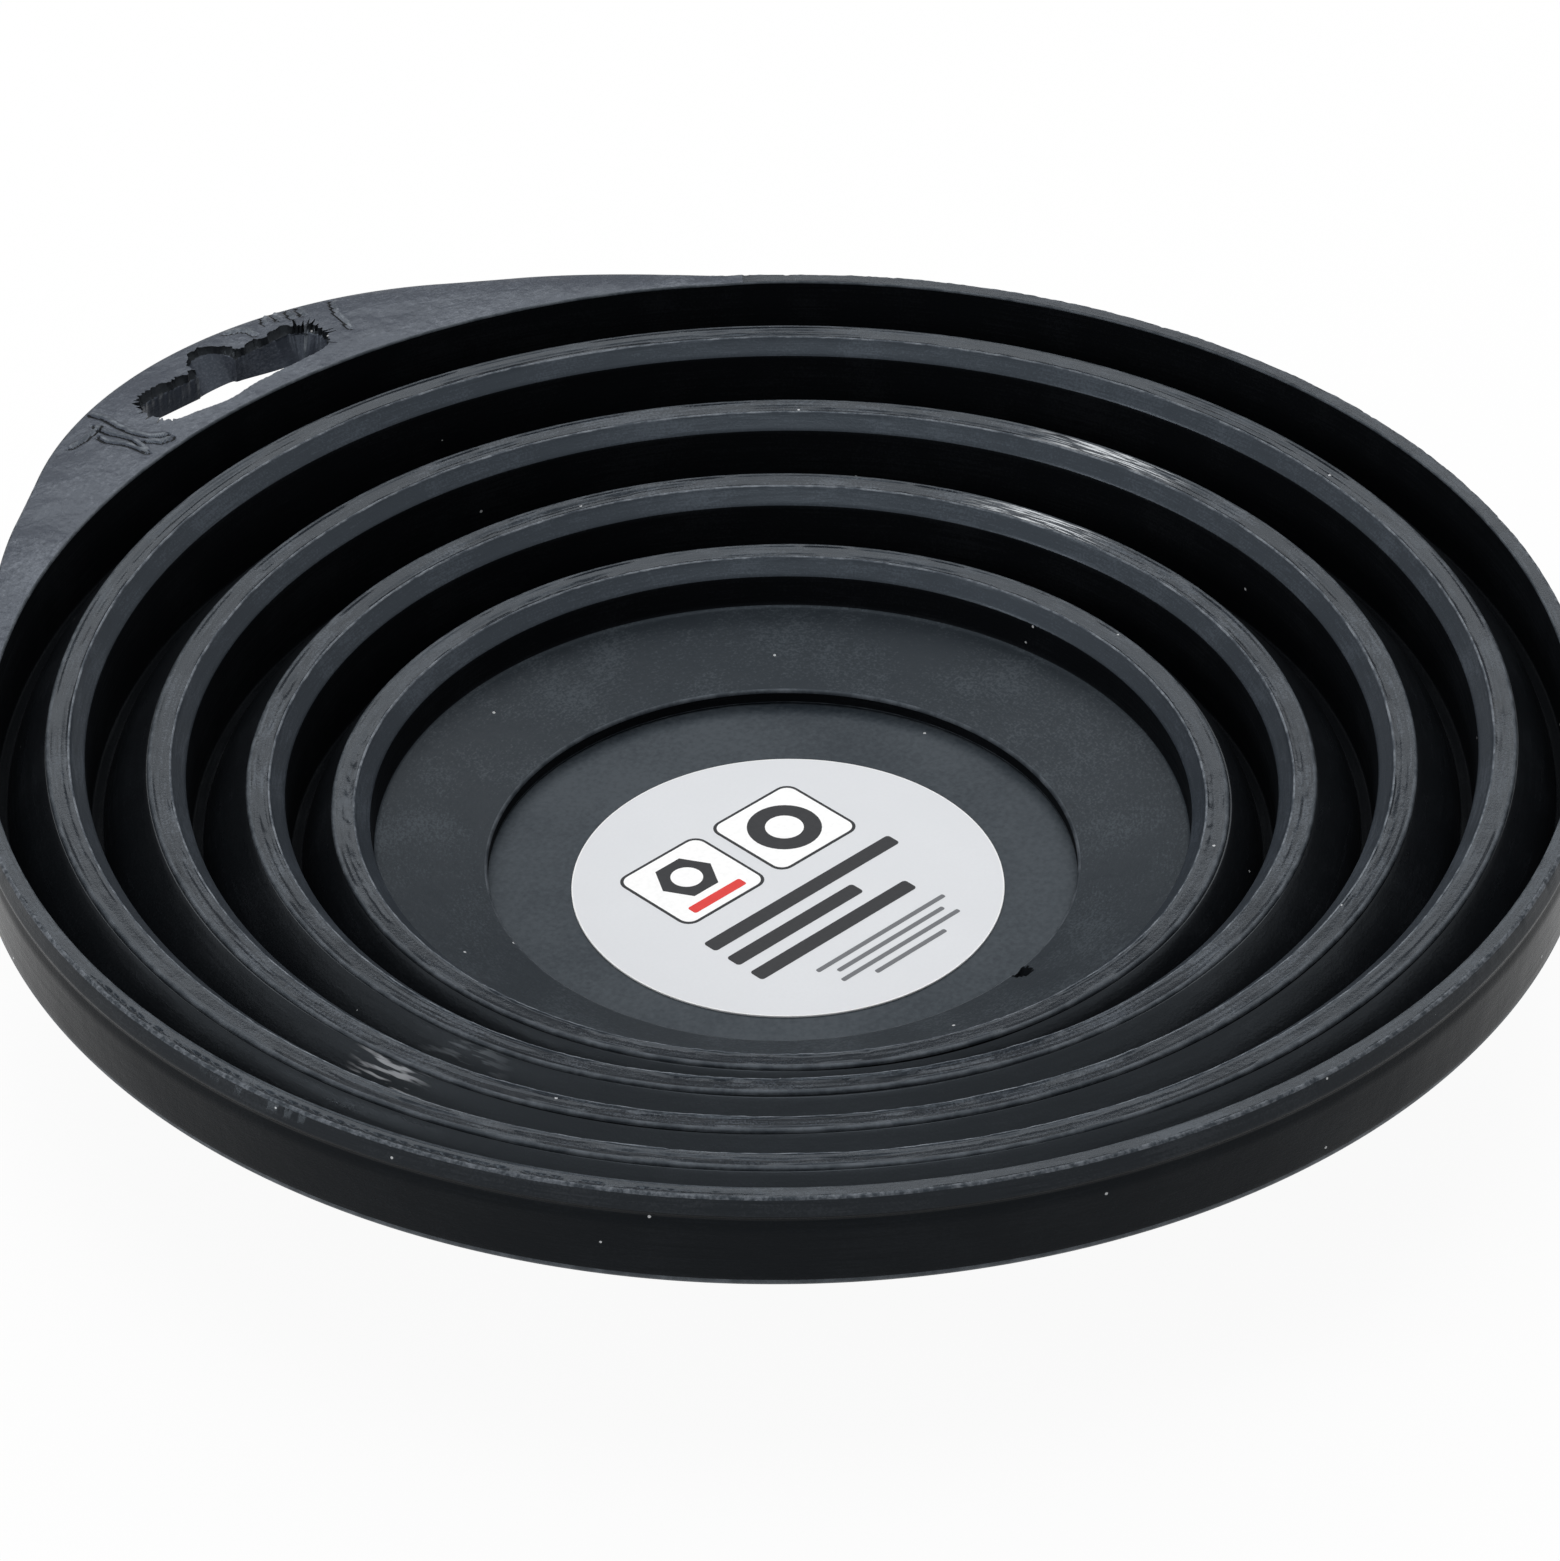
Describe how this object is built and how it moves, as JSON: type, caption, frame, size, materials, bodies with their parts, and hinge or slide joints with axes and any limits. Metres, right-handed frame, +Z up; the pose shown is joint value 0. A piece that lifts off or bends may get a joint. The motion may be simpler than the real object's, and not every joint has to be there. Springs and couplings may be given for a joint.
{
  "type": "magnetic parts tray",
  "caption": "Collapsible round rubber parts tray: nested bands joined by thin fold webs, a ring magnet puck in the base cup and a slotted hang tab on the rim.",
  "frame": {"origin": "centre of the foot pad's resting face, on the bowl's axis", "axes": "+Z up along the bowl's axis, +Y from the axis towards the hang tab"},
  "size_m": [0.1208, 0.1296, 0.026],
  "materials": {
    "bowl_rubber": "satin moulded rubber with fine scuffs",
    "disc_plastic": "fine-grained matte",
    "label_film": "satin printed film",
    "ferrite": "ground sintered",
    "cover_plastic": "fine spark-eroded texture",
    "screw_steel": "zinc plated",
    "pad_rubber": "matte foam rubber"
  },
  "bodies": {
    "base": {"base_cup": "bowl_rubber", "floor_disc": "disc_plastic", "label": "label_film", "ring_magnet": "ferrite", "base_cover": "cover_plastic", "cover_screw": "screw_steel", "foot_pad": "pad_rubber", "fold_web_4": "bowl_rubber"},
    "ring_3": {"ring_3": "bowl_rubber", "fold_web_3": "bowl_rubber"},
    "ring_2": {"ring_2": "bowl_rubber", "fold_web_2": "bowl_rubber"},
    "ring_1": {"ring_1": "bowl_rubber", "fold_web_1": "bowl_rubber"},
    "rim": {"rim_band": "bowl_rubber"}
  },
  "joints": [
    {"name": "fold_4", "type": "slide", "parent": "base", "child": "ring_3", "axis": [0, 0, 1], "range_m": [0, 0.009], "deforming": ["fold_web_4"]},
    {"name": "fold_3", "type": "slide", "parent": "ring_3", "child": "ring_2", "axis": [0, 0, 1], "range_m": [0, 0.009], "deforming": ["fold_web_3"]},
    {"name": "fold_2", "type": "slide", "parent": "ring_2", "child": "ring_1", "axis": [0, 0, 1], "range_m": [0, 0.009], "deforming": ["fold_web_2"]},
    {"name": "fold_1", "type": "slide", "parent": "ring_1", "child": "rim", "axis": [0, 0, 1], "range_m": [0, 0.009], "deforming": ["fold_web_1"]}
  ]
}
